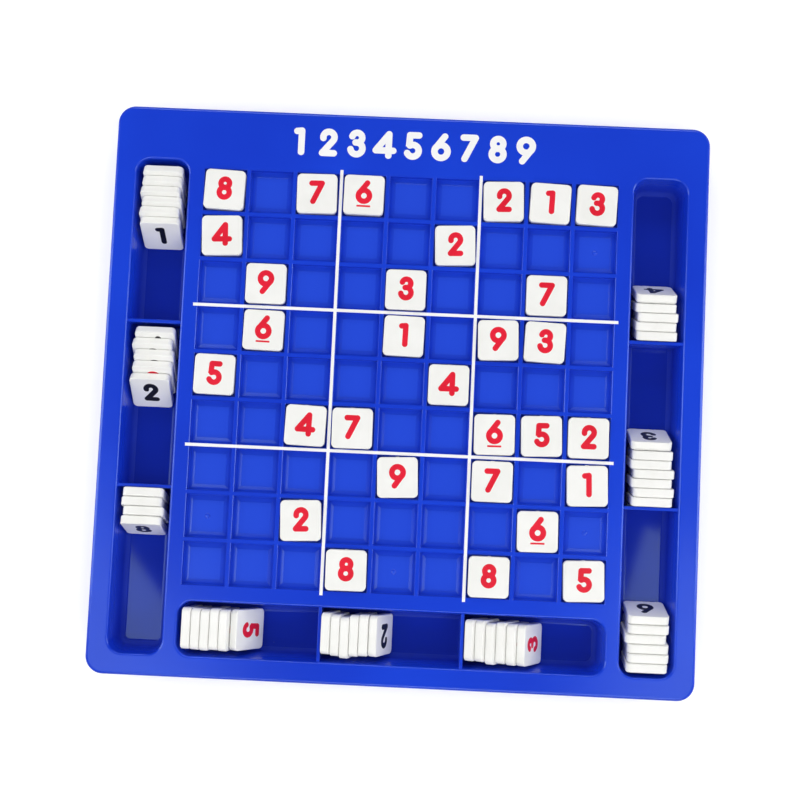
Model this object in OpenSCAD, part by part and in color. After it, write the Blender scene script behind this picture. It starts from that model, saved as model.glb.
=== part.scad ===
// Sudoku board: a moulded tray with a grid of cells, three storage troughs and a full set of loose
// number tiles. Lengths are in millimetres. +Z is up and +Y points to the header. The origin lies
// under the middle of the tray.

/* [Grid] */
// Spacing of the cells, centre to centre
cell_pitch = 20; // [18:0.5:26]
// Width of the ribs between cells
rib_w = 1.8; // [1.2:0.1:2.4]
// Chamfer along the top edges of the ribs
rib_chamfer = 0.25; // [0.1:0.05:0.5]
// Depth of a cell's seat below the top face
seat_depth = 2.5; // [1.5:0.1:3.5]
// Width of the sloping border around a seat
seat_slope_w = 2.2; // [1:0.1:3]
// Height that the border falls from the seat to the groove
seat_slope_drop = 0.5; // [0.2:0.1:0.8]
// Width of the flat groove along the foot of a rib
groove_w = 0.3; // [0.1:0.1:0.6]

/* [Tray] */
// Height of the tray
tray_h = 18; // [17:0.5:24]
// Thickness of the moulding
wall_t = 1.6; // [1.2:0.1:2.2]
// Depth of the header band, from the grid to the tray's edge
header_d = 25.5; // [20:0.5:40]
// Land between the grid and a trough, and between two troughs
land_w = 6; // [5:0.5:10]
// Land between a trough and the tray's edge
margin_w = 9.2; // [7:0.2:14]
// Radius of the tray's corners
corner_r = 7.5; // [5:0.5:12]
// Rounding of the tray's top edge
edge_r = 1.6; // [0.8:0.1:2.4]

/* [Troughs] */
// Gap between the underside of a trough and the table
foot_gap = 0.6; // [0.4:0.1:2]
// Room beside a tile at a trough's floor
trough_play = 1.2; // [0.8:0.1:3]
// How far a trough's wall leans in from lip to floor
trough_draft = 1.6; // [0.8:0.1:2]
// Radius of a trough's corners at the lip
trough_corner_r = 6; // [5:0.5:8]
// Radius between a trough's wall and its floor
trough_floor_r = 2.5; // [1:0.1:2.8]
// Rounding of a trough's lip
lip_r = 1; // [0.4:0.1:1.4]
// How far the side troughs reach past the grid towards the header
side_rise = 2.5; // [0:0.5:6]
// Thickness of a divider
divider_w = 1.4; // [1:0.1:2.4]
// How far the dividers lie below the top face
divider_drop = 0.8; // [0.2:0.1:2]
// Chamfer along the top edges of a divider
divider_chamfer = 0.3; // [0.1:0.05:0.5]

/* [Tiles] */
// Thickness of a tile
tile_t = 3.75; // [3:0.05:5]
// Room around a tile in its cell, on each side
tile_play = 0.5; // [0.4:0.05:1]
// Radius of a tile's corners
tile_corner_r = 2; // [1:0.1:3]
// Rounding of a tile's edges
tile_edge_r = 0.5; // [0.2:0.05:0.9]
// Gap between a tile and what it lies on
seat_clearance = 0.15; // [0.1:0.05:0.3]
// Gap kept between a turned or shifted tile and the ribs
rib_clearance = 0.1; // [0.05:0.05:0.15]
// Width of the moulding mark on a tile's upper edge
gate_w = 1.4; // [0.8:0.1:2]
// How far that mark stands out
gate_out = 0.15; // [0.05:0.05:0.25]

/* [Digits] */
// Height of a tile's digit
digit_h = 10.2; // [7:0.1:12]
// Depth of the stamped digits
digit_depth = 0.15; // [0.1:0.05:0.4]
// How far a digit's middle lies above the tile's middle
digit_raise = 0.5; // [0:0.1:1]
// Thickness of the bar under a six
bar_t = 0.8; // [0.5:0.1:1.2]
// Gap between a six and its bar
bar_gap = 0.6; // [0.3:0.1:1]
// Height of a header numeral
numeral_h = 12; // [8:0.5:13]
// Spacing of the header numerals
numeral_pitch = 12.2; // [11:0.2:16]
// Thickness of the white prints
print_t = 0.1; // [0.05:0.05:0.2]

/* [Stacks] */
// Gap between the tiles of a stack
stack_gap = 0.12; // [0.05:0.01:0.3]
// Gap between a stack and the divider that it leans on
divider_gap = 0.4; // [0.3:0.1:1]
// Gap between a stack and the trough end that it leans on
end_gap = 2.2; // [1.8:0.1:4]

/* [Hidden] */
// Cells along a side of the grid, and along a side of a box
cells = 9;
box_cells = 3;
// Compartments in each trough
bays = 3;
// Overrun of a cut past a face, and depth that a rib is sunk into what carries it
overrun = 1;
sink = 0.5;
// Straight sides of the sector that cuts an arc from a ring
sector_sides = 4;
$fn = 48;

// Stroke of a digit, and half the length of the bar under a six, as shares of the digit's height
stroke_share = 0.235;
bar_half_share = 0.29;
// Bent lines of the digits 1 to 9, x from the middle and y from the foot, as shares of the digit's height
digit_line_shares = [
    [[0.06, 0.11], [0.06, 0.89], [-0.11, 0.87]],
    [[0.173, 0.561], [-0.2, 0.11], [0.22, 0.11]],
    [[0.02, 0.54], [-0.03, 0.54]],
    [[0.15, 0.11], [0.15, 0.89], [-0.31, 0.29], [0.32, 0.29]],
    [[-0.135, 0.47], [-0.11, 0.89], [0.21, 0.89]],
    [[-0.2, 0.45], [0.125, 0.89]],
    [[-0.16, 0.11], [0.21, 0.885], [-0.22, 0.885]],
    [],
    [[0.2, 0.55], [-0.125, 0.11]],
];
// Arcs of the digits 1 to 9: centre and radius as shares of the digit's height, then first and last angle
digit_arc_shares = [
    [],
    [[0.02, 0.69, 0.2, -40, 190]],
    [[0.02, 0.715, 0.18, -85, 165], [0.01, 0.325, 0.215, -170, 85]],
    [],
    [[0, 0.325, 0.215, -155, 120]],
    [[0, 0.34, 0.235, 0, 360]],
    [],
    [[0.01, 0.705, 0.18, 0, 360], [0, 0.325, 0.21, 0, 360]],
    [[0, 0.66, 0.235, 0, 360]],
];

// Tiles on the grid: row from the header, column from the left, digit, turn in degrees,
// then the shift to the right and to the header as shares of the room left in the cell
tile_place_shares = [
    [1, 1, 8, -2, 0, 0.2],
    [1, 3, 7, 1, -0.8, -0.3],
    [1, 4, 6, -0.5, 0, 0.8],
    [1, 7, 2, 2, 0.2, -0.3],
    [1, 8, 1, -2, 0.2, -0.3],
    [1, 9, 3, -2, -0.2, -0.4],
    [2, 1, 4, 2.5, -0.6, 0.6],
    [2, 6, 2, 2.5, 0.5, 0],
    [3, 2, 9, 0, -0.4, 0.2],
    [3, 5, 3, 0, -0.8, -0.1],
    [3, 8, 7, 0, -0.5, 0.3],
    [4, 2, 6, -1, -0.2, 0],
    [4, 5, 1, -1, -0.5, 0.2],
    [4, 7, 9, 2, 0.5, 0.4],
    [4, 8, 3, -2, -0.3, 0],
    [5, 1, 5, -1, 0, 0.8],
    [5, 6, 4, 0, -0.8, 0.2],
    [6, 3, 4, -1.5, -0.6, 0.7],
    [6, 4, 7, 0.5, -0.8, -0.7],
    [6, 7, 6, 1, 0.3, -0.7],
    [6, 8, 5, 2, 0, 0.3],
    [6, 9, 2, 0.5, -0.6, 0.4],
    [7, 5, 9, 2.5, -0.6, -0.7],
    [7, 7, 7, 0, -0.4, -0.2],
    [7, 9, 1, 2, 0.4, -0.4],
    [8, 3, 2, 2.5, -0.7, -0.2],
    [8, 8, 6, 1, -0.6, -0.8],
    [9, 4, 8, 0.5, 0.2, 0],
    [9, 7, 8, 0, 0.3, -0.4],
    [9, 9, 5, 2, -0.3, 0],
];

// Stacks: name, trough, bay from the trough's first end, lean of the stack and of its front tile in degrees,
// turn of the front digit in degrees, whether the red face is in front, digits from the back to the front
stacks = [
    ["left_upper", "left", 0, 30, 31, 0, false, [1, 1, 1, 1, 1, 1]],
    ["left_middle", "left", 1, 38, 41, 0, false, [6, 2, 2, 2, 2]],
    ["left_lower", "left", 2, 13, 17, 0, false, [8, 8, 8, 8]],
    ["right_upper", "right", 2, 14, 22, 0, false, [4, 4, 4, 4, 4]],
    ["right_middle", "right", 1, 9, 22, 0, false, [7, 7, 8, 7, 7, 7, 3]],
    ["right_lower", "right", 0, 14, 17, 180, false, [9, 9, 9, 9, 9, 9]],
    ["bottom_left", "bottom", 0, 11, 35, 180, true, [5, 5, 5, 5, 5, 5]],
    ["bottom_middle", "bottom", 1, 13, 22, 90, false, [6, 6, 4, 6, 6, 2]],
    ["bottom_right", "bottom", 2, 28, 30, 0, true, [3, 3, 8, 3, 3, 3]],
];
// Sideways places of the tiles of each stack, in the order of the stacks and from the back,
// as shares of the room beside them
side_shares = [
    [0.1, 0, -0.5, 0.2, -0.5, 0],
    [0.5, -0.3, 0.5, 0.2, -0.55],
    [0, -0.4, 0.4, -0.3],
    [0, 0.3, -0.3, 0.5, 0.35],
    [0, -0.55, 0.3, -0.5, 0.55, 0.15, 0.6],
    [0, -0.4, -0.3, 0.6, -0.3, -0.2],
    [0.2, 0.05, -0.15, 0.15, -0.1, 0.1],
    [0.6, 0.1, -0.6, 0.2, 0.45, 0.4],
    [0.5, 0.4, -0.45, 0, -0.4, -0.5],
];

// Sizes that follow from the ones above
grid_w = cells * cell_pitch;
cell_w = cell_pitch - rib_w;
seat_w = cell_w - 2 * groove_w;
tile_w = cell_w - 2 * tile_play;
box_line_w = rib_w - 2 * rib_chamfer;
trough_w = tile_w + 2 * (trough_play + trough_draft);
tray_w = grid_w + 2 * (land_w + trough_w + margin_w);
tray_d = header_d + grid_w + land_w + trough_w + margin_w;
grid_y = tray_d / 2 - header_d - grid_w / 2;
seat_z = tray_h - seat_depth;
groove_z = seat_z - seat_slope_drop;
trough_floor_z = foot_gap + wall_t;
divider_top_z = tray_h - divider_drop;
side_trough_top_y = grid_y + grid_w / 2 + side_rise;
trough_low_y = margin_w - tray_d / 2;
side_trough_len = side_trough_top_y - trough_low_y;
side_trough_x = grid_w / 2 + land_w + trough_w / 2;
side_trough_y = (side_trough_top_y + trough_low_y) / 2;
bottom_trough_len = 2 * (side_trough_x - trough_w / 2 - land_w);
bottom_trough_y = trough_low_y + trough_w / 2;
stack_floor_z = trough_floor_z + seat_clearance;

// Each trough: name, middle, length, and the direction from its first end to its last in degrees.
// The stacks of a trough face this way.
troughs = [
    ["left", [-side_trough_x, side_trough_y], side_trough_len, -90],
    ["right", [side_trough_x, side_trough_y], side_trough_len, 90],
    ["bottom", [0, bottom_trough_y], bottom_trough_len, 0],
];
function trough_named(name) = [for (t = troughs) if (t[0] == name) t][0];

tile_names = [for (t = tile_place_shares) str("tile_row", t[0], "_col", t[1])];
stack_names = [for (s = stacks) str(s[0], "_stack")];
front_names = [for (s = stacks) str(s[0], "_front_tile")];

tray_colour = [0.11, 0.25, 0.82];
tile_colour = [0.97, 0.97, 0.95];
print_colour = [1, 1, 1];

// Quarter of a disc in the first quadrant
module quarter(r) {
    intersection() {
        circle(r);
        square(2 * r);
    }
}

// Block with rounded corners in plan, whose side has the half profile given as a child:
// x outwards from the corner's centre, y up. The middle is filled from low to high.
module turned_block(w, d, r, low, high) {
    side_x = w / 2 - r;
    side_y = d / 2 - r;
    for (corner = [[1, 1, 0], [-1, 1, 90], [-1, -1, 180], [1, -1, 270]])
        translate([corner[0] * side_x, corner[1] * side_y, 0])
            rotate(corner[2])
                rotate_extrude(angle = 90) children();
    for (turn = [0, 180])
        rotate(turn)
            translate([side_x, side_y, 0])
                rotate([90, 0, 0]) linear_extrude(2 * side_y) children();
    for (turn = [90, 270])
        rotate(turn)
            translate([side_y, side_x, 0])
                rotate([90, 0, 0]) linear_extrude(2 * side_x) children();
    translate([-side_x, -side_y, low]) cube([2 * side_x, 2 * side_y, high - low]);
}

// Straight-sided block with rounded corners in plan
module plain_block(w, d, r, low, high) {
    turned_block(w, d, r, low, high)
        translate([0, low]) square([r, high - low]);
}

// Bar along X with chamfered top edges, centred on X and Y
module bar(length, width, low, high, chamfer) {
    half = width / 2;
    outline = [
        [-half, low],
        [half, low],
        [half, high - chamfer],
        [half - chamfer, high],
        [chamfer - half, high],
        [-half, high - chamfer],
    ];
    translate([-length / 2, 0, 0]) rotate([90, 0, 90]) linear_extrude(length) polygon(outline);
}

// Half profile of the tray, with its rounded top edge
module tray_profile() {
    inner = corner_r - edge_r;
    shoulder = tray_h - edge_r;
    polygon([[0, 0], [corner_r, 0], [corner_r, shoulder], [inner, shoulder], [inner, tray_h], [0, tray_h]]);
    translate([inner, shoulder]) quarter(edge_r);
}

// Half profile of a trough's hollow: flat floor, round foot, leaning wall and rounded lip
module trough_profile() {
    wall_x = trough_corner_r - trough_draft;
    foot_x = wall_x - trough_floor_r;
    foot_z = trough_floor_z + trough_floor_r;
    lip_z = tray_h - lip_r;
    lip_x = trough_corner_r + lip_r;
    polygon([
        [0, trough_floor_z],
        [foot_x, trough_floor_z],
        [foot_x, foot_z],
        [wall_x, foot_z],
        [trough_corner_r, lip_z],
        [0, lip_z],
    ]);
    translate([foot_x, foot_z]) rotate(-90) quarter(trough_floor_r);
    difference() {
        translate([0, lip_z]) square([lip_x, lip_r + overrun]);
        translate([lip_x, lip_z]) circle(lip_r);
    }
}

// Places the child in a trough's own frame, with +X from its first end to its last
module in_trough(trough) {
    translate([trough[1][0], trough[1][1], 0]) rotate(trough[3]) children();
}

module trough_hollow(trough) {
    in_trough(trough)
        turned_block(trough[2], trough_w, trough_corner_r, trough_floor_z, tray_h + overrun) trough_profile();
}

// Solid that keeps the moulding's thickness around a trough
module trough_jacket(trough) {
    length = trough[2] + 2 * wall_t;
    in_trough(trough)
        plain_block(length, trough_w + 2 * wall_t, trough_corner_r + wall_t, foot_gap, tray_h);
}

module trough_dividers(trough) {
    bay_len = trough[2] / bays;
    for (k = [1 : bays - 1])
        in_trough(trough)
            translate([k * bay_len - trough[2] / 2, 0, 0])
                rotate(90)
                    bar(trough_w + wall_t, divider_w, trough_floor_z - sink, divider_top_z, divider_chamfer);
}

// Space under the tray
module underside() {
    inside_r = corner_r - wall_t;
    jacket_w = grid_w + 2 * wall_t;
    difference() {
        plain_block(tray_w - 2 * wall_t, tray_d - 2 * wall_t, inside_r, -overrun, tray_h - wall_t);
        for (t = troughs) trough_jacket(t);
        translate([-jacket_w / 2, grid_y - jacket_w / 2, groove_z - wall_t])
            cube([jacket_w, jacket_w, tray_h]);
    }
}

module grid_ribs() {
    for (k = [0 : cells])
        for (turn = [0, 90])
            translate([0, grid_y, 0])
                rotate(turn)
                    translate([0, k * cell_pitch - grid_w / 2, 0])
                        bar(grid_w, rib_w, groove_z - sink, tray_h, rib_chamfer);
}

// Ridges with sloping sides, one for each row of cells, along X
module seat_ridges() {
    foot = seat_w / 2;
    crest = foot - seat_slope_w;
    outline = [
        [-foot, groove_z - sink],
        [foot, groove_z - sink],
        [foot, groove_z],
        [crest, seat_z],
        [-crest, seat_z],
        [-foot, groove_z],
    ];
    for (k = [0 : cells - 1])
        translate([-grid_w / 2, (k + 0.5) * cell_pitch - grid_w / 2, 0])
            rotate([90, 0, 90]) linear_extrude(grid_w) polygon(outline);
}

// Raised seats: where the ridges of the rows and of the columns cross
module grid_seats() {
    translate([0, grid_y, 0])
        intersection() {
            seat_ridges();
            rotate(90) seat_ridges();
        }
}

// The moulded tray
module tray() {
    color(tray_colour)
        union() {
            difference() {
                turned_block(tray_w, tray_d, corner_r, 0, tray_h) tray_profile();
                underside();
                for (t = troughs) trough_hollow(t);
                translate([-grid_w / 2, grid_y - grid_w / 2, groove_z])
                    cube([grid_w, grid_w, seat_depth + seat_slope_drop + overrun]);
            }
            grid_ribs();
            grid_seats();
            for (t = troughs) trough_dividers(t);
        }
}

// White lines around the boxes of cells, printed on the ribs
module box_lines() {
    length = grid_w + rib_w;
    box_pitch = box_cells * cell_pitch;
    color(print_colour)
        translate([0, grid_y, tray_h])
            linear_extrude(print_t)
                for (k = [1 : cells / box_cells - 1])
                    for (turn = [0, 90])
                        rotate(turn)
                            translate([-length / 2, k * box_pitch - grid_w / 2 - box_line_w / 2])
                                square([length, box_line_w]);
}

// Straight stroke between two points, with a round end at the second
module straight_stroke(from, to, width) {
    way = to - from;
    translate(from)
        rotate(atan2(way[1], way[0])) {
            translate([0, -width / 2]) square([norm(way), width]);
            translate([norm(way), 0]) circle(width / 2);
        }
}

// Stroke along an arc, with round ends unless it is a full ring
module arc_stroke(centre, r, first, last, width) {
    outer = r + width / 2;
    sweep = last - first;
    step = sweep / sector_sides;
    ray = [for (k = [0 : sector_sides]) 2 * outer * [cos(first + k * step), sin(first + k * step)]];
    translate(centre)
        if (sweep == 360) {
            difference() {
                circle(outer);
                circle(r - width / 2);
            }
        } else {
            intersection() {
                difference() {
                    circle(outer);
                    circle(r - width / 2);
                }
                polygon(concat([[0, 0]], ray));
            }
            for (angle = [first, last]) rotate(angle) translate([r, 0]) circle(width / 2);
        }
}

// Outline of a digit of a given height, its middle at the origin. A six has a bar under it if asked.
module digit(value, height, barred) {
    width = stroke_share * height;
    line = digit_line_shares[value - 1] * height;
    translate([0, -height / 2]) {
        for (k = [1 : len(line) - 1]) straight_stroke(line[k - 1], line[k], width);
        if (len(digit_arc_shares[value - 1]) == 0) translate(line[0]) circle(width / 2);
        for (a = digit_arc_shares[value - 1])
            arc_stroke([a[0], a[1]] * height, a[2] * height, a[3], a[4], width);
        if (barred && value == 6)
            translate([-bar_half_share * height, -bar_gap - bar_t])
                square([2 * bar_half_share * height, bar_t]);
    }
}

// Plain numerals printed on the header band
module header_numerals() {
    color(print_colour)
        translate([0, tray_d / 2 - header_d / 2, tray_h])
            linear_extrude(print_t)
                for (k = [1 : cells])
                    translate([(k - (cells + 1) / 2) * numeral_pitch, 0]) digit(k, numeral_h, false);
}

// Half profile of a tile, with both edges rounded
module tile_profile() {
    inner = tile_corner_r - tile_edge_r;
    shoulder = tile_t - tile_edge_r;
    polygon([
        [0, 0],
        [inner, 0],
        [inner, tile_edge_r],
        [tile_corner_r, tile_edge_r],
        [tile_corner_r, shoulder],
        [inner, shoulder],
        [inner, tile_t],
        [0, tile_t],
    ]);
    translate([inner, shoulder]) quarter(tile_edge_r);
    translate([inner, tile_edge_r]) rotate(-90) quarter(tile_edge_r);
}

// Tile lying on z = 0, with its digit stamped into both faces and a moulding mark on its upper edge
module tile(value) {
    raise = digit_raise + (value == 6 ? (bar_gap + bar_t) / 2 : 0);
    color(tile_colour)
        difference() {
            union() {
                turned_block(tile_w, tile_w, tile_corner_r, 0, tile_t) tile_profile();
                translate([-gate_w / 2, tile_w / 2 - sink, tile_t / 3])
                    cube([gate_w, sink + gate_out, tile_t / 3]);
            }
            translate([0, raise, tile_t - digit_depth])
                linear_extrude(digit_depth + overrun) digit(value, digit_h, true);
            translate([0, raise, digit_depth])
                rotate([0, 180, 0]) linear_extrude(digit_depth + overrun) digit(value, digit_h, true);
        }
}

// Room that a turned tile leaves in its cell
function room_left(turn) =
    tile_play - rib_clearance
    - max(gate_out, (tile_w / 2 - tile_corner_r) * (cos(turn) + abs(sin(turn)) - 1));

// Tile in its cell of the grid
module placed_tile(place) {
    room = room_left(place[3]);
    x = (place[1] - (cells + 1) / 2) * cell_pitch + place[4] * room;
    y = grid_y - (place[0] - (cells + 1) / 2) * cell_pitch + place[5] * room;
    translate([x, y, seat_z + seat_clearance]) rotate(place[3]) tile(place[2]);
}

// Height of what a stack leans on, above the foot of the stack
function support_h(bay) = (bay == 0 ? tray_h : divider_top_z) - stack_floor_z;

// Way along the trough from the bay's start to the foot of a stack's tile
function stack_foot(stack, k) =
    (stack[2] == 0 ? end_gap : divider_gap + divider_w / 2)
    + support_h(stack[2]) * tan(stack[3])
    + k * (tile_t + stack_gap) / cos(stack[3]);

// The same for the front tile, whose upper back edge touches the front of the tile behind it
function front_foot(stack) =
    let (behind = stack_foot(stack, len(stack[7]) - 2))
    let (lean = stack[3])
    let (edge_x = behind + tile_t * cos(lean) - tile_w * sin(lean))
    let (edge_z = tile_t * sin(lean) + tile_w * cos(lean))
    edge_x + (edge_z - tile_w * cos(stack[4])) * tan(lean) + tile_w * sin(stack[4]) + stack_gap / cos(lean);

// Tile that stands in a trough and leans back by an angle, its foot at a way along the bay
module standing_tile(stack, foot, lean, k, side) {
    trough = trough_named(stack[1]);
    bay_start = stack[2] * trough[2] / bays - trough[2] / 2;
    in_trough(trough)
        translate([bay_start + foot, side * trough_play, stack_floor_z])
            rotate([0, -lean, 0])
                rotate([90, 0, 90])
                    translate([0, tile_w / 2, 0])
                        rotate(stack[5])
                            translate([0, 0, stack[6] ? 0 : tile_t])
                                rotate([0, stack[6] ? 0 : 180, 0]) tile(stack[7][k]);
}

// All tiles of a stack but the front one
module stack_rest(stack, sides) {
    for (k = [0 : len(stack[7]) - 2]) standing_tile(stack, stack_foot(stack, k), stack[3], k, sides[k]);
}

module stack_front(stack, sides) {
    k = len(stack[7]) - 1;
    standing_tile(stack, front_foot(stack), stack[4], k, sides[k]);
}

tray();
box_lines();
header_numerals();
for (k = [0 : len(tile_names) - 1])
    placed_tile(tile_place_shares[k]);
for (k = [0 : len(stacks) - 1]) {
    stack_rest(stacks[k], side_shares[k]);
    stack_front(stacks[k], side_shares[k]);
}
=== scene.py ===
"""Looks of a sudoku board: a blue moulded tray with white prints and a full set of loose number tiles.

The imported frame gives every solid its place. This script dresses the solids, inks the stamped digits,
adds the round marks that the mould leaves, and sets the floor, the light and the camera.
The size classes hold millimetres and degrees.
The finishes, the lights, the camera's place and every mesh hold metres.
"""

import logging
from dataclasses import dataclass, field
from enum import Enum, IntEnum
from math import cos, radians, sin, tan

import bpy
import numpy as np
from mathutils import Matrix, Vector
from mathutils.geometry import delaunay_2d_cdt


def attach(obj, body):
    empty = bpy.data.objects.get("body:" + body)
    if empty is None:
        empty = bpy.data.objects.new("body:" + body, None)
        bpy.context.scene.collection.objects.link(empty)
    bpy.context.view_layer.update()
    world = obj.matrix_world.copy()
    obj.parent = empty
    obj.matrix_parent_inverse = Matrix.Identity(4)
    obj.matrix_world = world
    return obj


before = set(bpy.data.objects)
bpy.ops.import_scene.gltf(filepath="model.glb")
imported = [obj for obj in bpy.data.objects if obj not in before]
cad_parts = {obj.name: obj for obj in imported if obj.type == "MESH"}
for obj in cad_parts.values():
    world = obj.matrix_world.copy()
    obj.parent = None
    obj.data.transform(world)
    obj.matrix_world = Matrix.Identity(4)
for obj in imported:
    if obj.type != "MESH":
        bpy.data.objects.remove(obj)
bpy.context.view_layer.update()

log = logging.getLogger("sudoku_board")
METRES = 0.001
FULL_TURN = 360.0
HALF_TURN = 180.0
QUARTER_TURN = 90.0
Colour = tuple[float, float, float]
Place = tuple[float, float, float]
Span = tuple[float, float]
WHOLE: Span = (0.0, 1.0)
FALLING: Span = (1.0, 0.0)
CLOUD_SPAN: Span = (0.35, 0.65)
GRAIN_SPAN: Span = (0.3, 0.7)
WHITE: Colour = (1.0, 1.0, 1.0)
OPAQUE = 1.0


class Axis(IntEnum):
    """The axes of the frame, numbered as the rows of a matrix."""

    X = 0
    Y = 1
    Z = 2


class Trough(Enum):
    """The three storage troughs, with the direction from first end to last end in degrees."""

    LEFT = -90.0
    RIGHT = 90.0
    BOTTOM = 0.0


class Ink(Enum):
    """The two inks of a tile: red on its upper face and black on its lower face."""

    RED = "red"
    BLACK = "black"


def shifted(x: float, y: float, z: float) -> np.ndarray:
    """Matrix of a shift.

    Args:
        x: way along X in millimetres.
        y: way along Y in millimetres.
        z: way along Z in millimetres.

    Returns:
        The four by four matrix.
    """
    place = np.eye(4)
    place[:3, 3] = (x, y, z)
    return place


def turned(axis: Axis, degrees: float) -> np.ndarray:
    """Matrix of a right-handed turn about one of the frame's axes.

    Args:
        axis: the axis.
        degrees: angle of the turn.

    Returns:
        The four by four matrix.
    """
    first, second = (axis + 1) % len(Axis), (axis + 2) % len(Axis)
    place = np.eye(4)
    place[first, first] = place[second, second] = cos(radians(degrees))
    place[second, first] = sin(radians(degrees))
    place[first, second] = -sin(radians(degrees))
    return place


@dataclass(frozen=True)
class Surface:
    """Points of one piece in millimetres, and its faces in blocks of equal corner counts."""

    points: np.ndarray
    blocks: list[np.ndarray]

    def placed(self, place: np.ndarray) -> "Surface":
        """The same surface in another place.

        Args:
            place: four by four matrix that carries it there.

        Returns:
            The carried surface.
        """
        return Surface(self.points @ place[:3, :3].T + place[:3, 3], self.blocks)

    @staticmethod
    def joined(surfaces: list["Surface"]) -> "Surface":
        """One surface that holds several, with the face indices moved up by the points before them.

        Args:
            surfaces: the surfaces to join.

        Returns:
            The joined surface.
        """
        starts = np.cumsum([0] + [len(s.points) for s in surfaces])
        blocks = [block + start for s, start in zip(surfaces, starts) for block in s.blocks]
        return Surface(np.concatenate([s.points for s in surfaces]), blocks)

    def piece(self, name: str, body: str, slot: str, material: bpy.types.Material) -> bpy.types.Object:
        """Makes the object, at the origin, that rides on a body of the frame.

        Args:
            name: name of the piece.
            body: body that it moves with.
            slot: material slot of the record that it belongs to; not used.
            material: its finish.

        Returns:
            The new object.
        """
        faces = [face for block in self.blocks for face in block.tolist()]
        mesh = bpy.data.meshes.new(name)
        mesh.from_pydata((self.points * METRES).tolist(), [], faces)
        mesh.materials.append(material)
        mesh.update()
        made = bpy.data.objects.new(name, mesh)
        bpy.context.scene.collection.objects.link(made)
        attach(made, body)
        log.info("piece %s: %d faces on %s", name, len(faces), body)
        return made


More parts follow.
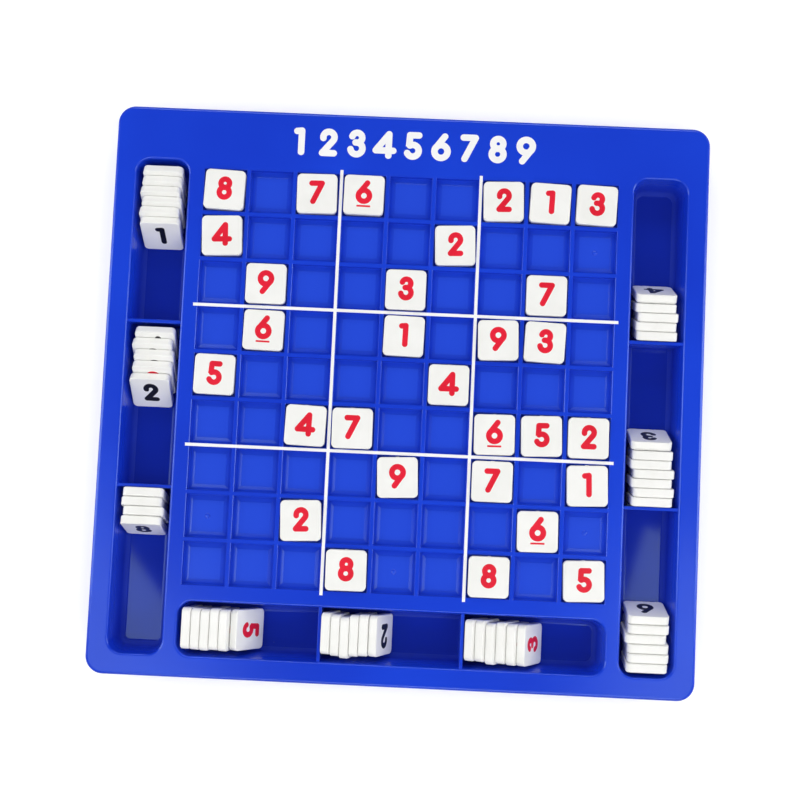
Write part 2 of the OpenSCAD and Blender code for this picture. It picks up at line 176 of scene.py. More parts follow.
@dataclass
class ShaderBoard:
    """Node tree of one material, with the few kinds of node that the finishes share."""

    name: str
    material: bpy.types.Material = field(init=False)
    shader: bpy.types.Node = field(init=False)
    place: bpy.types.NodeSocket = field(init=False)

    def __post_init__(self) -> None:
        """Starts the tree with a surface shader and the object's own coordinates."""
        self.material = bpy.data.materials.new(self.name)
        self.material.use_nodes = True
        self.shader = self.material.node_tree.nodes["Principled BSDF"]
        self.place = self.add("ShaderNodeTexCoord").outputs["Object"]

    def add(self, kind: str, **settings: object) -> bpy.types.Node:
        """Adds a node.

        Args:
            kind: Blender's name for the kind of node.
            settings: values for the node's own properties.

        Returns:
            The new node.
        """
        node = self.material.node_tree.nodes.new(kind)
        for key, value in settings.items():
            setattr(node, key, value)
        return node

    def link(self, source: bpy.types.NodeSocket, target: bpy.types.NodeSocket) -> None:
        """Joins two sockets.

        Args:
            source: output of one node.
            target: input of another node.
        """
        self.material.node_tree.links.new(source, target)

    def noise(self, scale: float, detail: float = 2.0) -> bpy.types.NodeSocket:
        """Cloudy noise on the object's coordinates.

        Args:
            scale: clouds per metre.
            detail: how many finer layers are added.

        Returns:
            The socket of the noise's value, around one half.
        """
        node = self.add("ShaderNodeTexNoise")
        node.inputs["Scale"].default_value = scale
        node.inputs["Detail"].default_value = detail
        self.link(self.place, node.inputs["Vector"])
        return node.outputs["Fac"]

    def spread(self, value: bpy.types.NodeSocket, span: Span, result: Span = WHOLE) -> bpy.types.NodeSocket:
        """Maps a value from one span to another and holds it at the ends.

        Args:
            value: the socket to map.
            span: values that become the ends of the result.
            result: the two ends of the result.

        Returns:
            The socket of the mapped value.
        """
        node = self.add("ShaderNodeMapRange")
        for key, number in zip(("From Min", "From Max", "To Min", "To Max"), (*span, *result)):
            node.inputs[key].default_value = number
        self.link(value, node.inputs["Value"])
        return node.outputs["Result"]

    def blended(self, share: bpy.types.NodeSocket, first: Colour | bpy.types.NodeSocket,
                second: Colour | bpy.types.NodeSocket) -> bpy.types.NodeSocket:
        """Mixes two colours.

        Args:
            share: socket of the second colour's share.
            first: colour, or socket of the colour, where the share is zero.
            second: colour, or socket of the colour, where the share is one.

        Returns:
            The socket of the mixed colour.
        """
        node = self.add("ShaderNodeMix", data_type="RGBA")
        sockets = [socket for socket in node.inputs if socket.type == "RGBA"]
        for socket, colour in zip(sockets, (first, second)):
            if isinstance(colour, bpy.types.NodeSocket):
                self.link(colour, socket)
            else:
                socket.default_value = (*colour, OPAQUE)
        self.link(share, node.inputs["Factor"])
        return next(socket for socket in node.outputs if socket.type == "RGBA")

    def product(self, first: bpy.types.NodeSocket, second: bpy.types.NodeSocket) -> bpy.types.NodeSocket:
        """Multiplies two values.

        Args:
            first: socket of the first value.
            second: socket of the second value.

        Returns:
            The socket of the product.
        """
        node = self.add("ShaderNodeMath", operation="MULTIPLY")
        self.link(first, node.inputs[0])
        self.link(second, node.inputs[1])
        return node.outputs["Value"]

    def toward(self, share: bpy.types.NodeSocket, value: bpy.types.NodeSocket,
               end: float) -> bpy.types.NodeSocket:
        """Moves a value towards a number.

        Args:
            share: socket of the share of the way that the value goes.
            value: socket of the value.
            end: the number.

        Returns:
            The socket of the moved value.
        """
        node = self.add("ShaderNodeMix", data_type="FLOAT")
        factor, start, stop = [socket for socket in node.inputs if socket.type == "VALUE"]
        self.link(share, factor)
        self.link(value, start)
        stop.default_value = end
        return node.outputs["Result"]

    def upright(self, vector: bpy.types.NodeSocket) -> bpy.types.NodeSocket:
        """The upward share of a vector.

        Args:
            vector: socket of the vector.

        Returns:
            The socket of its Z.
        """
        node = self.add("ShaderNodeSeparateXYZ")
        self.link(vector, node.inputs["Vector"])
        return node.outputs["Z"]

    def bump(self, height: bpy.types.NodeSocket, depth: float) -> None:
        """Raises the surface by a height for the light alone.

        Args:
            height: socket of the height, from 0 to 1.
            depth: height of the bumps in metres.
        """
        node = self.add("ShaderNodeBump")
        node.inputs["Distance"].default_value = depth
        self.link(height, node.inputs["Height"])
        self.link(node.outputs["Normal"], self.shader.inputs["Normal"])

    def dress(self, colour: bpy.types.NodeSocket, roughness: bpy.types.NodeSocket) -> None:
        """Feeds the surface shader.

        Args:
            colour: socket of the colour.
            roughness: socket of the roughness.
        """
        self.link(colour, self.shader.inputs["Base Color"])
        self.link(roughness, self.shader.inputs["Roughness"])


@dataclass(frozen=True)
class TrayFinish:
    """Glossy blue plastic: satin on top, where the mould was grained, and shinier in the troughs, whose
    floors are darkened with painted shade; the cell floors are painted paler as painted light.
    """

    # painted shade: a darker blue on the trough floors, where the walls keep the light out
    trough: Colour = (0.006, 0.028, 0.47)
    deep: Colour = (0.007, 0.041, 0.60)
    pale: Colour = (0.009, 0.053, 0.68)
    # painted light: a paler blue on the level cell floors, which look lighter as they catch the light
    cell: Colour = (0.018, 0.070, 0.70)
    gloss_tint: Colour = (0.72, 1.0, 1.0)
    cloud_scale: float = 14.0
    grain_scale: float = 1400.0
    grain_depth: float = 0.00001
    floor_roughness: float = 0.06
    wall_roughness: float = 0.75
    top_roughness: float = 0.2
    # heights between which the looks of the troughs, their painted shade among them, change to those of the
    # top
    floor_z: float = 0.003
    top_z: float = 0.014
    # heights between which the looks of the cells, their painted light among them, change to those of the
    # ribs
    cell_z: Span = (0.0159, 0.0166)
    # upward shares of the normal between which the ground counts as sloping and as level
    level: Span = (0.95, 0.99)

    def material(self) -> bpy.types.Material:
        """Builds the finish: clouds in the colour, fine grain, and cell floors painted paler as painted
        light.

        The colour and the roughness rise with the height above the trough floors; the darker colour low in
        the troughs is painted shade.

        Returns:
            The material.
        """
        board = ShaderBoard("tray_plastic")
        board.shader.inputs["Specular Tint"].default_value = (*self.gloss_tint, OPAQUE)
        clouds = board.spread(board.noise(self.cloud_scale), CLOUD_SPAN)
        rise = board.upright(board.place)
        heights = (self.floor_z, self.top_z)
        high = board.spread(rise, heights)
        board.bump(board.product(board.noise(self.grain_scale), high), self.grain_depth)
        up = board.upright(board.add("ShaderNodeNewGeometry").outputs["Normal"])
        polish = board.spread(rise, heights, (self.floor_roughness, self.top_roughness))
        # the rounded feet of the trough walls are dull and show no streaks of light beside the floors
        steep = board.spread(up, self.level, FALLING)
        low = board.spread(rise, heights, FALLING)
        polish = board.toward(board.product(steep, low), polish, self.wall_roughness)
        # painted light: the level, sunk cell floors take the paler cell colour
        sunk = board.spread(rise, self.cell_z, FALLING)
        cell = board.product(board.spread(up, self.level), sunk)
        land = board.blended(cell, board.blended(clouds, self.deep, self.pale), self.cell)
        # painted shade: low in the troughs the colour goes to the darker trough blue
        colour = board.blended(high, self.trough, land)
        board.dress(colour, polish)
        return board.material


@dataclass(frozen=True)
class PlainFinish:
    """Moulded plastic, print or ink of one colour with faint clouds and a fine grain."""

    name: str
    deep: Colour
    pale: Colour
    smooth: float = 0.28
    rough: float = 0.38
    cloud_scale: float = 90.0
    grain_scale: float = 2200.0
    grain_depth: float = 0.000006

    def material(self) -> bpy.types.Material:
        """Builds the finish: clouds in the colour and in the roughness, and fine grain.

        Returns:
            The material.
        """
        board = ShaderBoard(self.name)
        clouds = board.spread(board.noise(self.cloud_scale), CLOUD_SPAN)
        polish = board.spread(board.noise(self.grain_scale), GRAIN_SPAN, (self.smooth, self.rough))
        board.bump(board.noise(self.grain_scale), self.grain_depth)
        board.dress(board.blended(clouds, self.deep, self.pale), polish)
        return board.material


TILE_WHITE = PlainFinish("tile_plastic", (0.89, 0.89, 0.86), (0.93, 0.93, 0.905))
PRINT_WHITE = PlainFinish("white_print", (0.90, 0.90, 0.90), (0.95, 0.95, 0.95), smooth=0.4, rough=0.55)
INK_FINISHES = {
    Ink.RED: PlainFinish("red_ink", (0.74, 0.008, 0.030), (0.84, 0.012, 0.040)),
    Ink.BLACK: PlainFinish("black_ink", (0.004, 0.004, 0.004), (0.009, 0.009, 0.009)),
}


@dataclass(frozen=True)
class BoardSizes:
    """Sizes of the tray that the other pieces follow, in millimetres, as in the part's source."""

    cells: int = 9
    bays: int = 3
    cell_pitch: float = 20.0
    grid_y: float = 6.25
    seat_z: float = 15.5
    tray_h: float = 18.0
    trough_floor_z: float = 2.2
    trough_play: float = 1.2
    divider_w: float = 1.4
    divider_drop: float = 0.8
    side_trough_x: float = 107.4
    side_trough_y: float = -6.9
    side_trough_len: float = 211.3
    bottom_trough_y: float = -101.15
    bottom_trough_len: float = 180.0
    seat_clearance: float = 0.15
    rib_clearance: float = 0.1
    tile_play: float = 0.5
    stack_gap: float = 0.12
    divider_gap: float = 0.4
    end_gap: float = 2.2

    def cell_place(self, row: int, column: int) -> tuple[float, float]:
        """Middle of a cell.

        Args:
            row: row counted from the header.
            column: column counted from the left.

        Returns:
            Its X and Y in millimetres.
        """
        middle = (self.cells + 1) / 2
        return (column - middle) * self.cell_pitch, self.grid_y - (row - middle) * self.cell_pitch

    def trough_place(self, trough: Trough) -> tuple[np.ndarray, float]:
        """Frame of a trough, with X from its first end to its last, and its length.

        Args:
            trough: which trough.

        Returns:
            The matrix of the frame at the trough's middle, and the length in millimetres.
        """
        if trough is Trough.BOTTOM:
            return shifted(0.0, self.bottom_trough_y, 0.0), self.bottom_trough_len
        side = -self.side_trough_x if trough is Trough.LEFT else self.side_trough_x
        return shifted(side, self.side_trough_y, 0.0) @ turned(Axis.Z, trough.value), self.side_trough_len

    @property
    def stack_floor_z(self) -> float:
        """Height at which the feet of the stacks stand."""
        return self.trough_floor_z + self.seat_clearance


@dataclass(frozen=True)
class DigitShape:
    """Bold rounded digits drawn with one stroke width. The six has a bar under it."""

    height: float = 10.2
    stroke_share: float = 0.235
    bar_half_share: float = 0.29
    bar_t: float = 0.8
    bar_gap: float = 0.6
    steps_per_turn: int = 40
    least_steps: int = 3
    spread_w: float = 0.04
    merge_w: float = 0.00001

    UNDERLINED = 6
    # points of the straight strokes of 1 to 9, from the middle of the foot, as shares of the height
    LINES = (
        ((0.06, 0.11), (0.06, 0.89), (-0.11, 0.87)),
        ((0.173, 0.561), (-0.2, 0.11), (0.22, 0.11)),
        ((0.02, 0.54), (-0.03, 0.54)),
        ((0.15, 0.11), (0.15, 0.89), (-0.31, 0.29), (0.32, 0.29)),
        ((-0.135, 0.47), (-0.11, 0.89), (0.21, 0.89)),
        ((-0.2, 0.45), (0.125, 0.89)),
        ((-0.16, 0.11), (0.21, 0.885), (-0.22, 0.885)),
        (),
        ((0.2, 0.55), (-0.125, 0.11)),
    )
    # centre, radius, first and last angle of the curved strokes of 1 to 9, lengths as shares of the height
    ARCS = (
        (),
        ((0.02, 0.69, 0.2, -40.0, 190.0),),
        ((0.02, 0.715, 0.18, -85.0, 165.0), (0.01, 0.325, 0.215, -170.0, 85.0)),
        (),
        ((0.0, 0.325, 0.215, -155.0, 120.0),),
        ((0.0, 0.34, 0.235, 0.0, 360.0),),
        (),
        ((0.01, 0.705, 0.18, 0.0, 360.0), (0.0, 0.325, 0.21, 0.0, 360.0)),
        ((0.0, 0.66, 0.235, 0.0, 360.0),),
    )

    def arc(self, centre: np.ndarray, radius: float, first: float, last: float) -> np.ndarray:
        """Points on a circle: the centre plus the radius times the cosine and sine of evenly spaced angles.

        Args:
            centre: centre of the circle.
            radius: its radius.
            first: first angle in degrees.
            last: last angle in degrees.

        Returns:
            The points, one per row.
        """
        count = max(self.least_steps, int(abs(last - first) / FULL_TURN * self.steps_per_turn) + 1)
        angle = np.radians(np.linspace(first, last, count))
        return np.asarray(centre) + radius * np.stack([np.cos(angle), np.sin(angle)], axis=1)

    def straight(self, start: np.ndarray, end: np.ndarray, half: float, round_start: bool) -> np.ndarray:
        """Outline of a straight stroke: two straight sides and a half circle around its second end.

        The first end is a half circle too, or square.

        Args:
            start: first end of the stroke.
            end: second end of the stroke.
            half: half the stroke's width.
            round_start: whether the first end is round.

        Returns:
            The outline's points, anticlockwise.
        """
        way = np.degrees(np.arctan2(end[1] - start[1], end[0] - start[0]))
        nose = self.arc(end, half, way - QUARTER_TURN, way + QUARTER_TURN)
        tail = self.arc(start, half, way + QUARTER_TURN, way + QUARTER_TURN + HALF_TURN)
        return np.concatenate([nose, tail if round_start else tail[[0, -1]]])

    def ribbon(self, centre: np.ndarray, radius: float, first: float, last: float,
               half: float) -> list[np.ndarray]:
        """Outlines of a stroke along an arc: the outer arc, a round end, the inner arc back and a round end.

        A full ring is two half rings with square ends.

        Args:
            centre: centre of the arc.
            radius: radius of the stroke's middle.
            first: first angle in degrees.
            last: last angle in degrees.
            half: half the stroke's width.

        Returns:
            The outlines, anticlockwise.
        """
        if last - first >= FULL_TURN:
            cuts = (first, first + HALF_TURN, last)
            return [np.concatenate([self.arc(centre, radius + half, low, high),
                                    self.arc(centre, radius - half, high, low)])
                    for low, high in zip(cuts[:-1], cuts[1:])]
        ends = self.arc(centre, radius, first, last)
        return [np.concatenate([
            self.arc(centre, radius + half, first, last),
            self.arc(ends[-1], half, last, last + HALF_TURN)[1:-1],
            self.arc(centre, radius - half, last, first),
            self.arc(ends[0], half, first - HALF_TURN, first)[1:-1],
        ])]

    def outlines(self, value: int) -> list[np.ndarray]:
        """Outlines of a digit's strokes, its middle at the origin.

        Args:
            value: the digit, from 1 to 9.

        Returns:
            The outlines in millimetres.
        """
        half = self.stroke_share * self.height / 2 + self.spread_w
        foot = np.array([0.0, self.height / 2])
        line = np.array(self.LINES[value - 1]).reshape(-1, 2) * self.height - foot
        alone = not self.ARCS[value - 1]
        pairs = enumerate(zip(line[:-1], line[1:]))
        made = [self.straight(a, b, half, alone or k > 0) for k, (a, b) in pairs]
        for x, y, radius, first, last in self.ARCS[value - 1]:
            centre = np.array([x, y]) * self.height - foot
            made += self.ribbon(centre, radius * self.height, first, last, half)
        if value == self.UNDERLINED:
            reach = self.bar_half_share * self.height + self.spread_w
            low = -self.height / 2 - self.bar_gap - self.bar_t - self.spread_w
            high = -self.height / 2 - self.bar_gap + self.spread_w
            made.append(np.array([[-reach, low], [reach, low], [reach, high], [-reach, high]]))
        return made

    def inlay(self, value: int, low: float, high: float) -> Surface:
        """Closed flat inlay of a digit: the union of its strokes, filled with triangles at two heights.

        The rim between the two heights stands on the edges that belong to one triangle alone.

        Args:
            value: the digit, from 1 to 9.
            low: height of the lower face.
            high: height of the upper face.

        Returns:
            The inlay's surface.
        """
        outlines = self.outlines(value)
        starts = np.cumsum([0] + [len(o) for o in outlines])
        rings = [list(range(a, b)) for a, b in zip(starts[:-1], starts[1:])]
        flat = np.concatenate(outlines).tolist()
        points, _, faces, _, _, sources = delaunay_2d_cdt(flat, [], rings, 0, self.merge_w)
        plane = np.array(points)
        triangles = np.array([f for f, source in zip(faces, sources) if source])
        a, b, c = (plane[triangles[:, k]] for k in range(3))
        area = (b[:, 0] - a[:, 0]) * (c[:, 1] - a[:, 1]) - (b[:, 1] - a[:, 1]) * (c[:, 0] - a[:, 0])
        triangles[area < 0] = triangles[area < 0][:, ::-1]
        count = len(plane)
        sides = np.concatenate([triangles[:, [0, 1]], triangles[:, [1, 2]], triangles[:, [2, 0]]])
        key = np.sort(sides, axis=1) @ np.array([count, 1])
        _, index, uses = np.unique(key, return_index=True, return_counts=True)
        rim = sides[index[uses == 1]]
        walls = np.stack([rim[:, 1], rim[:, 0], rim[:, 0] + count, rim[:, 1] + count], axis=1)
        upper = np.column_stack([plane, np.full(count, high)])
        lower = np.column_stack([plane, np.full(count, low)])
        blocks = [triangles, triangles[:, ::-1] + count, walls]
        return Surface(np.concatenate([upper, lower]), blocks)


@dataclass
class TileInk:
    """Ink in the stamped digits of the tiles, on both faces, with the sizes of a tile in millimetres."""

    thickness: float = 3.75
    width: float = 17.2
    corner_r: float = 2.0
    gate_out: float = 0.15
    digit_raise: float = 0.5
    ink_drop: float = 0.03
    stamp_depth: float = 0.15
    sink: float = 0.02
    shape: DigitShape = field(default_factory=DigitShape)
    inlays: dict[int, Surface] = field(init=False)
    finishes: dict[Ink, bpy.types.Material] = field(init=False)

    def __post_init__(self) -> None:
        """Draws each digit once and builds the two inks."""
        low, high = -self.stamp_depth - self.sink, -self.ink_drop
        values = range(1, len(self.shape.LINES) + 1)
        self.inlays = {value: self.shape.inlay(value, low, high) for value in values}
        self.finishes = {ink: finish.material() for ink, finish in INK_FINISHES.items()}

    def inlaid(self, value: int, ink: Ink, place: np.ndarray) -> Surface:
        """Ink of one face of a tile.

        Args:
            value: the tile's digit.
            ink: which face.
            place: matrix of the tile, which lies on its own z = 0.

        Returns:
            The ink's surface.
        """
        shape = self.shape
        bar = (shape.bar_gap + shape.bar_t) / 2 if value == shape.UNDERLINED else 0.0
        raised = self.digit_raise + bar
        upper = shifted(0.0, raised, self.thickness)
        lower = shifted(0.0, raised, 0.0) @ turned(Axis.Y, HALF_TURN)
        return self.inlays[value].placed(place @ (upper if ink is Ink.RED else lower))

    def dress(self, node: str, body: str, tiles: list[tuple[int, np.ndarray]]) -> None:
        """Inks both faces of a node's tiles.

        Args:
            node: the node.
            body: the body that it moves with.
            tiles: digit and matrix of each tile.
        """
        for ink in Ink:
            surface = Surface.joined([self.inlaid(value, ink, place) for value, place in tiles])
            slot = f"{ink.value}_ink"
            surface.piece(f"{node}_{slot}", body, slot, self.finishes[ink])


@dataclass
class GridTiles:
    """Tiles that lie in cells of the grid."""

    board: BoardSizes
    ink: TileInk

    # row from the header, column from the left, digit, turn in degrees,
    # then the shift to the right and to the header as shares of the room left in the cell
    PLACES = (
        (1, 1, 8, -2, 0, 0.2), (1, 3, 7, 1, -0.8, -0.3), (1, 4, 6, -0.5, 0, 0.8), (1, 7, 2, 2, 0.2, -0.3),
        (1, 8, 1, -2, 0.2, -0.3), (1, 9, 3, -2, -0.2, -0.4), (2, 1, 4, 2.5, -0.6, 0.6),
        (2, 6, 2, 2.5, 0.5, 0), (3, 2, 9, 0, -0.4, 0.2), (3, 5, 3, 0, -0.8, -0.1), (3, 8, 7, 0, -0.5, 0.3),
        (4, 2, 6, -1, -0.2, 0), (4, 5, 1, -1, -0.5, 0.2), (4, 7, 9, 2, 0.5, 0.4), (4, 8, 3, -2, -0.3, 0),
        (5, 1, 5, -1, 0, 0.8), (5, 6, 4, 0, -0.8, 0.2), (6, 3, 4, -1.5, -0.6, 0.7),
        (6, 4, 7, 0.5, -0.8, -0.7), (6, 7, 6, 1, 0.3, -0.7), (6, 8, 5, 2, 0, 0.3), (6, 9, 2, 0.5, -0.6, 0.4),
        (7, 5, 9, 2.5, -0.6, -0.7), (7, 7, 7, 0, -0.4, -0.2), (7, 9, 1, 2, 0.4, -0.4),
        (8, 3, 2, 2.5, -0.7, -0.2), (8, 8, 6, 1, -0.6, -0.8), (9, 4, 8, 0.5, 0.2, 0),
        (9, 7, 8, 0, 0.3, -0.4), (9, 9, 5, 2, -0.3, 0),
    )

    def room(self, turn: float) -> float:
        """Room that a turned tile leaves in its cell, on each side.

        Args:
            turn: the tile's turn in degrees.

        Returns:
            The room in millimetres.
        """
        angle = radians(turn)
        swing = (self.ink.width / 2 - self.ink.corner_r) * (cos(angle) + abs(sin(angle)) - 1)
        return self.board.tile_play - self.board.rib_clearance - max(self.ink.gate_out, swing)

    def dress(self) -> None:
        """Inks every tile of the grid."""
        height = self.board.seat_z + self.board.seat_clearance
        for row, column, value, turn, right, header in self.PLACES:
            x, y = self.board.cell_place(row, column)
            room = self.room(turn)
            place = shifted(x + right * room, y + header * room, height) @ turned(Axis.Z, turn)
            name = f"tile_row{row}_col{column}"
            self.ink.dress(name, name, [(value, place)])


@dataclass(frozen=True)
class Stack:
    """One leaning stack of tiles in a compartment of a trough.

    The digits and the side places, as shares of the room beside a tile, go from the back to the front.
    The tiles with a number in turned_round, counted from 0 at the back, show their other face in front.
    """

    name: str
    trough: Trough
    bay: int
    lean: float
    front_lean: float
    digit_turn: float
    red_in_front: bool
    digits: tuple[int, ...]
    side_shares: tuple[float, ...]
    turned_round: tuple[int, ...] = ()


STACKS = (
    Stack("left_upper", Trough.LEFT, 0, 30, 31, 0, False, (1, 1, 1, 1, 1, 1), (0.1, 0, -0.5, 0.2, -0.5, 0)),
    Stack("left_middle", Trough.LEFT, 1, 38, 41, 0, False, (6, 2, 2, 2, 2),
          (0.5, -0.3, 0.5, 0.2, -0.55), (3,)),
    Stack("left_lower", Trough.LEFT, 2, 13, 17, 0, False, (8, 8, 8, 8), (0, -0.4, 0.4, -0.3)),
    Stack("right_upper", Trough.RIGHT, 2, 14, 22, 0, False, (4, 4, 4, 4, 4), (0, 0.3, -0.3, 0.5, 0.35)),
    Stack("right_middle", Trough.RIGHT, 1, 9, 22, 0, False, (7, 7, 8, 7, 7, 7, 3),
          (0, -0.55, 0.3, -0.5, 0.55, 0.15, 0.6)),
    Stack("right_lower", Trough.RIGHT, 0, 14, 17, 180, False, (9, 9, 9, 9, 9, 9),
          (0, -0.4, -0.3, 0.6, -0.3, -0.2)),
    Stack("bottom_left", Trough.BOTTOM, 0, 11, 35, 180, True, (5, 5, 5, 5, 5, 5),
          (0.2, 0.05, -0.15, 0.15, -0.1, 0.1)),
    Stack("bottom_middle", Trough.BOTTOM, 1, 13, 22, 90, False, (6, 6, 4, 6, 6, 2),
          (0.6, 0.1, -0.6, 0.2, 0.45, 0.4)),
    Stack("bottom_right", Trough.BOTTOM, 2, 28, 30, 0, True, (3, 3, 8, 3, 3, 3),
          (0.5, 0.4, -0.45, 0, -0.4, -0.5)),
)


@dataclass
class StackTiles:
    """Tiles that stand in the troughs."""

    board: BoardSizes
    ink: TileInk

    def foot(self, stack: Stack, k: int) -> float:
        """Way from the bay's start to the foot of a tile: the room behind it, the lean and the tiles behind.

        Args:
            stack: the stack.
            k: the tile's number from the back.

        Returns:
            The way in millimetres.
        """
        board, lean = self.board, radians(stack.lean)
        top = board.tray_h if stack.bay == 0 else board.tray_h - board.divider_drop
        gap = board.end_gap if stack.bay == 0 else board.divider_gap + board.divider_w / 2
        step = (self.ink.thickness + board.stack_gap) / cos(lean)
        return gap + (top - board.stack_floor_z) * tan(lean) + k * step

    def front_foot(self, stack: Stack) -> float:
        """Way to the front tile's foot, whose upper back edge meets the front of the tile behind it.

        Args:
            stack: the stack.

        Returns:
            The way in millimetres.
        """
        lean, front = radians(stack.lean), radians(stack.front_lean)
        thick, width = self.ink.thickness, self.ink.width
        behind = self.foot(stack, len(stack.digits) - 2)
        edge_x = behind + thick * cos(lean) - width * sin(lean)
        edge_z = thick * sin(lean) + width * cos(lean)
        sunk = edge_z - width * cos(front)
        return edge_x + sunk * tan(lean) + width * sin(front) + self.board.stack_gap / cos(lean)

    def standing(self, stack: Stack, k: int, foot: float, lean: float) -> tuple[int, np.ndarray]:
        """Digit and matrix of a tile that stands in a trough and leans back.

        Args:
            stack: the stack.
            k: the tile's number from the back.
            foot: way from the bay's start to the tile's foot.
            lean: how far it leans back, in degrees.

        Returns:
            The digit, and the matrix of the tile.
        """
        board, tile = self.board, self.ink
        place, length = board.trough_place(stack.trough)
        start = stack.bay * length / board.bays - length / 2
        place = place @ shifted(start + foot, stack.side_shares[k] * board.trough_play, board.stack_floor_z)
        place = place @ turned(Axis.Y, -lean) @ turned(Axis.Z, QUARTER_TURN) @ turned(Axis.X, QUARTER_TURN)
        place = place @ shifted(0.0, tile.width / 2, 0.0) @ turned(Axis.Z, stack.digit_turn)
        if stack.red_in_front == (k in stack.turned_round):
            place = place @ shifted(0.0, 0.0, tile.thickness) @ turned(Axis.Y, HALF_TURN)
        return stack.digits[k], place

    def dress(self) -> None:
        """Inks every tile of every stack."""
        for stack in STACKS:
            last, body = len(stack.digits) - 1, f"{stack.name}_stack"
            rest = [self.standing(stack, k, self.foot(stack, k), stack.lean) for k in range(last)]
            self.ink.dress(body, body, rest)
            front = self.standing(stack, last, self.front_foot(stack), stack.front_lean)
            self.ink.dress(f"{stack.name}_front_tile", body, [front])


@dataclass
class Tray:
    """The moulded tray with its prints."""

    finish: TrayFinish = field(default_factory=TrayFinish)

    def dress(self) -> bpy.types.Material:
        """Gives the tray, its prints and the tiles their finishes.

        Returns:
            The tray's own finish.
        """
        blue, white, tile = self.finish.material(), PRINT_WHITE.material(), TILE_WHITE.material()
        finishes = {"tray": blue, "box_lines": white, "header_numerals": white}
        for name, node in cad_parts.items():
            chosen = finishes.get(name, tile)
            node.data.materials.clear()
            node.data.materials.append(chosen)
            log.info("node %s: %s", name, chosen.name)
        return blue


@dataclass
class MouldMarks:
    """Low round nubs that the pins and the gate of the mould leave on the tray, in millimetres."""

    board: BoardSizes
    finish: bpy.types.Material
    pin_r: float = 1.1
    pin_h: float = 0.3
    gate_r: float = 0.45
    gate_h: float = 0.3
    sink: float = 0.05
    steps: int = 28
    rings: int = 6
    last_ring: float = 80.0

    # row from the header and column from the left of the cells that show a pin's mark
    PIN_CELLS = ((2, 9), (8, 1), (8, 9), (9, 5))
    GATE_PLACE = (-50.5, -107.0)

    def nub(self, radius: float, height: float) -> Surface:
        """Low dome: rings whose radius goes with the cosine of an angle and whose height goes with its sine.

        Args:
            radius: radius of the dome's foot.
            height: height of its top.

        Returns:
            The closed dome, its foot a little below z = 0.
        """
        rise = np.radians(np.linspace(0.0, self.last_ring, self.rings))
        out = np.concatenate([[radius], radius * np.cos(rise)])
        up = np.concatenate([[-self.sink], height * np.sin(rise)])
        angle = np.linspace(0.0, np.radians(FULL_TURN), self.steps, endpoint=False)
        flat = np.stack([np.cos(angle), np.sin(angle)], axis=1)
        heights = np.broadcast_to(up[:, None, None], (out.size, self.steps, 1))
        rounds = np.concatenate([out[:, None, None] * flat, heights], axis=2)
        index = np.arange(out.size * self.steps).reshape(out.size, self.steps)
        ahead = np.roll(index, -1, axis=1)
        quads = np.stack([index[:-1], ahead[:-1], ahead[1:], index[1:]], axis=2).reshape(-1, 4)
        return Surface(rounds.reshape(-1, 3), [quads, index[-1:], index[:1, ::-1]])

    def build(self) -> None:
        """Sets the nubs in the cells and the gate's mark in the bottom trough."""
        cells = [self.board.cell_place(row, column) for row, column in self.PIN_CELLS]
        pin, gate = self.nub(self.pin_r, self.pin_h), self.nub(self.gate_r, self.gate_h)
        pins = [pin.placed(shifted(x, y, self.board.seat_z)) for x, y in cells]
        gate = gate.placed(shifted(*self.GATE_PLACE, self.board.trough_floor_z))
        Surface.joined([*pins, gate]).piece("mould_marks", "tray", "tray_plastic", self.finish)


@dataclass(frozen=True)
class Softbox:
    """A rectangular studio light, in metres, watts and degrees."""

    name: str
    place: Place
    aim: Place
    size: Span
    power: float
    spin: float = 0.0

    def build(self) -> None:
        """Hangs the light, turns it to its aim and spins it about that axis."""
        lamp = bpy.data.lights.new(self.name, "AREA")
        lamp.shape = "RECTANGLE"
        lamp.size, lamp.size_y = self.size
        lamp.energy = self.power
        made = bpy.data.objects.new(self.name, lamp)
        turn = (Vector(self.aim) - Vector(self.place)).to_track_quat("-Z", "Y")
        spin = Matrix.Rotation(radians(self.spin), 4, "Z")
        made.matrix_world = Matrix.Translation(self.place) @ turn.to_matrix().to_4x4() @ spin
        bpy.context.scene.collection.objects.link(made)


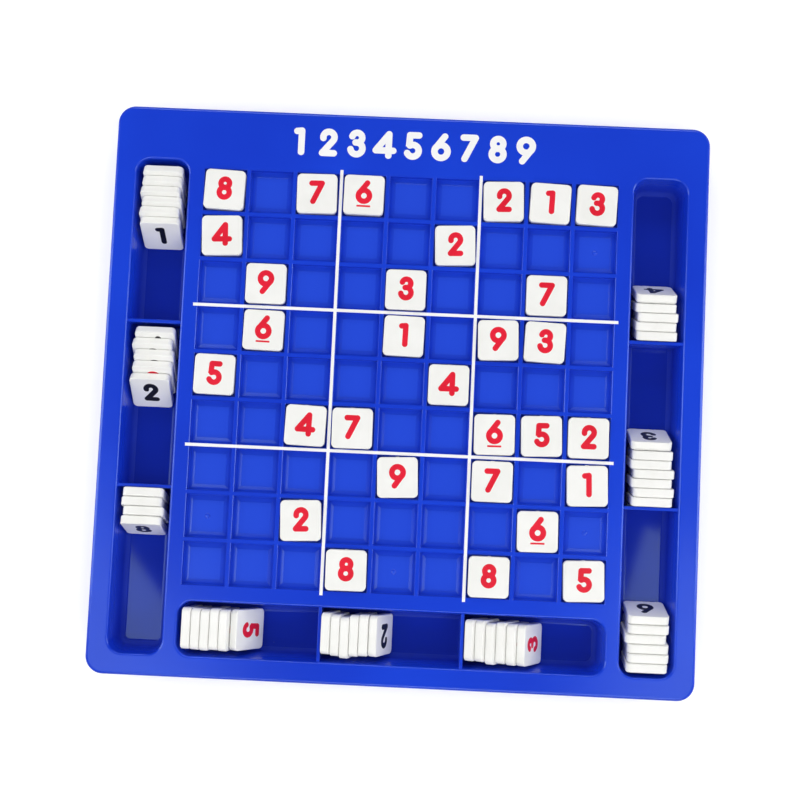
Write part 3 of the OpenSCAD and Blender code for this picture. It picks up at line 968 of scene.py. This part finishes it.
@dataclass(frozen=True)
class Studio:
    """Camera, floor and light, with the roll in degrees and the lens and the sensor in millimetres."""

    eye: Place = (0.00712, -0.03802, 0.5479)
    aim: Place = (-0.00052, -0.00093, 0.018)
    roll: float = 2.63
    lens: float = 56.25
    sensor: float = 36.0
    floor_size: float = 12.0
    floor_colour: Colour = (0.92, 0.92, 0.92)
    floor_roughness: float = 0.9
    floor_lift: float = 0.3
    floor_fade: Span = (0.35, 1.1)
    world_strength: float = 0.1
    softboxes: tuple[Softbox, ...] = (
        Softbox("left_softbox", (-1.0, 0.05, 0.40), (0.0, 0.0, 0.0), (0.45, 1.2), 7.0),
        Softbox("right_softbox", (1.0, 0.05, 0.40), (0.0, 0.0, 0.0), (0.45, 1.2), 7.0),
        Softbox("front_softbox", (0.1, -0.90, 0.66), (0.0, 0.0, 0.0), (0.9, 0.4), 4.2),
        Softbox("back_softbox", (0.0, 0.95, 0.70), (0.0, 0.0, 0.0), (0.9, 0.4), 4.8),
        Softbox("left_panel", (-0.433, -0.274, 0.78), (-0.433, -0.274, 0.0), (0.42, 0.56), 1.3, 39.0),
        Softbox("right_panel", (0.388, -0.390, 0.78), (0.388, -0.390, 0.0), (0.42, 0.56), 1.25, -14.0),
    )

    def camera(self) -> None:
        """Places the camera at the photograph's viewpoint: looks from the eye to the aim, then rolls."""
        lens = bpy.data.cameras.new("camera")
        lens.lens, lens.sensor_width = self.lens, self.sensor
        made = bpy.data.objects.new("camera", lens)
        back = (Vector(self.eye) - Vector(self.aim)).normalized()
        right = Vector((0.0, 1.0, 0.0)).cross(back).normalized()
        up = back.cross(right)
        turn = Matrix((right, up, back)).transposed().to_4x4()
        made.matrix_world = Matrix.Translation(self.eye) @ turn @ Matrix.Rotation(radians(self.roll), 4, "Z")
        bpy.context.scene.collection.objects.link(made)
        bpy.context.scene.camera = made

    def floor(self) -> None:
        """Lays a plain pale floor, lifted towards white for the camera alone and most of all far away."""
        half = self.floor_size / 2
        mesh = bpy.data.meshes.new("floor")
        corners = [(-half, -half, 0.0), (half, -half, 0.0), (half, half, 0.0), (-half, half, 0.0)]
        mesh.from_pydata(corners, [], [(0, 1, 2, 3)])
        board = ShaderBoard("floor")
        board.shader.inputs["Base Color"].default_value = (*self.floor_colour, OPAQUE)
        board.shader.inputs["Roughness"].default_value = self.floor_roughness
        board.shader.inputs["Emission Color"].default_value = (*WHITE, OPAQUE)
        away = board.add("ShaderNodeVectorMath", operation="LENGTH")
        board.link(board.place, away.inputs[0])
        lift = board.spread(away.outputs["Value"], self.floor_fade, (self.floor_lift, 1.0))
        seen = board.add("ShaderNodeLightPath").outputs["Is Camera Ray"]
        board.link(board.product(seen, lift), board.shader.inputs["Emission Strength"])
        mesh.materials.append(board.material)
        made = bpy.data.objects.new("floor", mesh)
        bpy.context.scene.collection.objects.link(made)

    def light(self) -> None:
        """Lights the board with soft boxes and a dim even surround that the camera alone sees as white."""
        world = bpy.data.worlds.new("studio")
        world.use_nodes = True
        tree = world.node_tree
        tree.nodes["Background"].inputs["Color"].default_value = (*WHITE, OPAQUE)
        lift = tree.nodes.new("ShaderNodeMapRange")
        lift.inputs["To Min"].default_value = self.world_strength
        seen = tree.nodes.new("ShaderNodeLightPath").outputs["Is Camera Ray"]
        tree.links.new(seen, lift.inputs["Value"])
        tree.links.new(lift.outputs["Result"], tree.nodes["Background"].inputs["Strength"])
        bpy.context.scene.world = world
        for softbox in self.softboxes:
            softbox.build()
        bpy.context.scene.view_settings.view_transform = "Standard"


def main() -> None:
    """Builds the board's looks in order."""
    logging.basicConfig(level=logging.INFO)
    studio = Studio()
    studio.camera()
    blue = Tray().dress()
    board, ink = BoardSizes(), TileInk()
    MouldMarks(board, blue).build()
    GridTiles(board, ink).dress()
    StackTiles(board, ink).dress()
    studio.floor()
    studio.light()


if __name__ == "__main__":
    main()
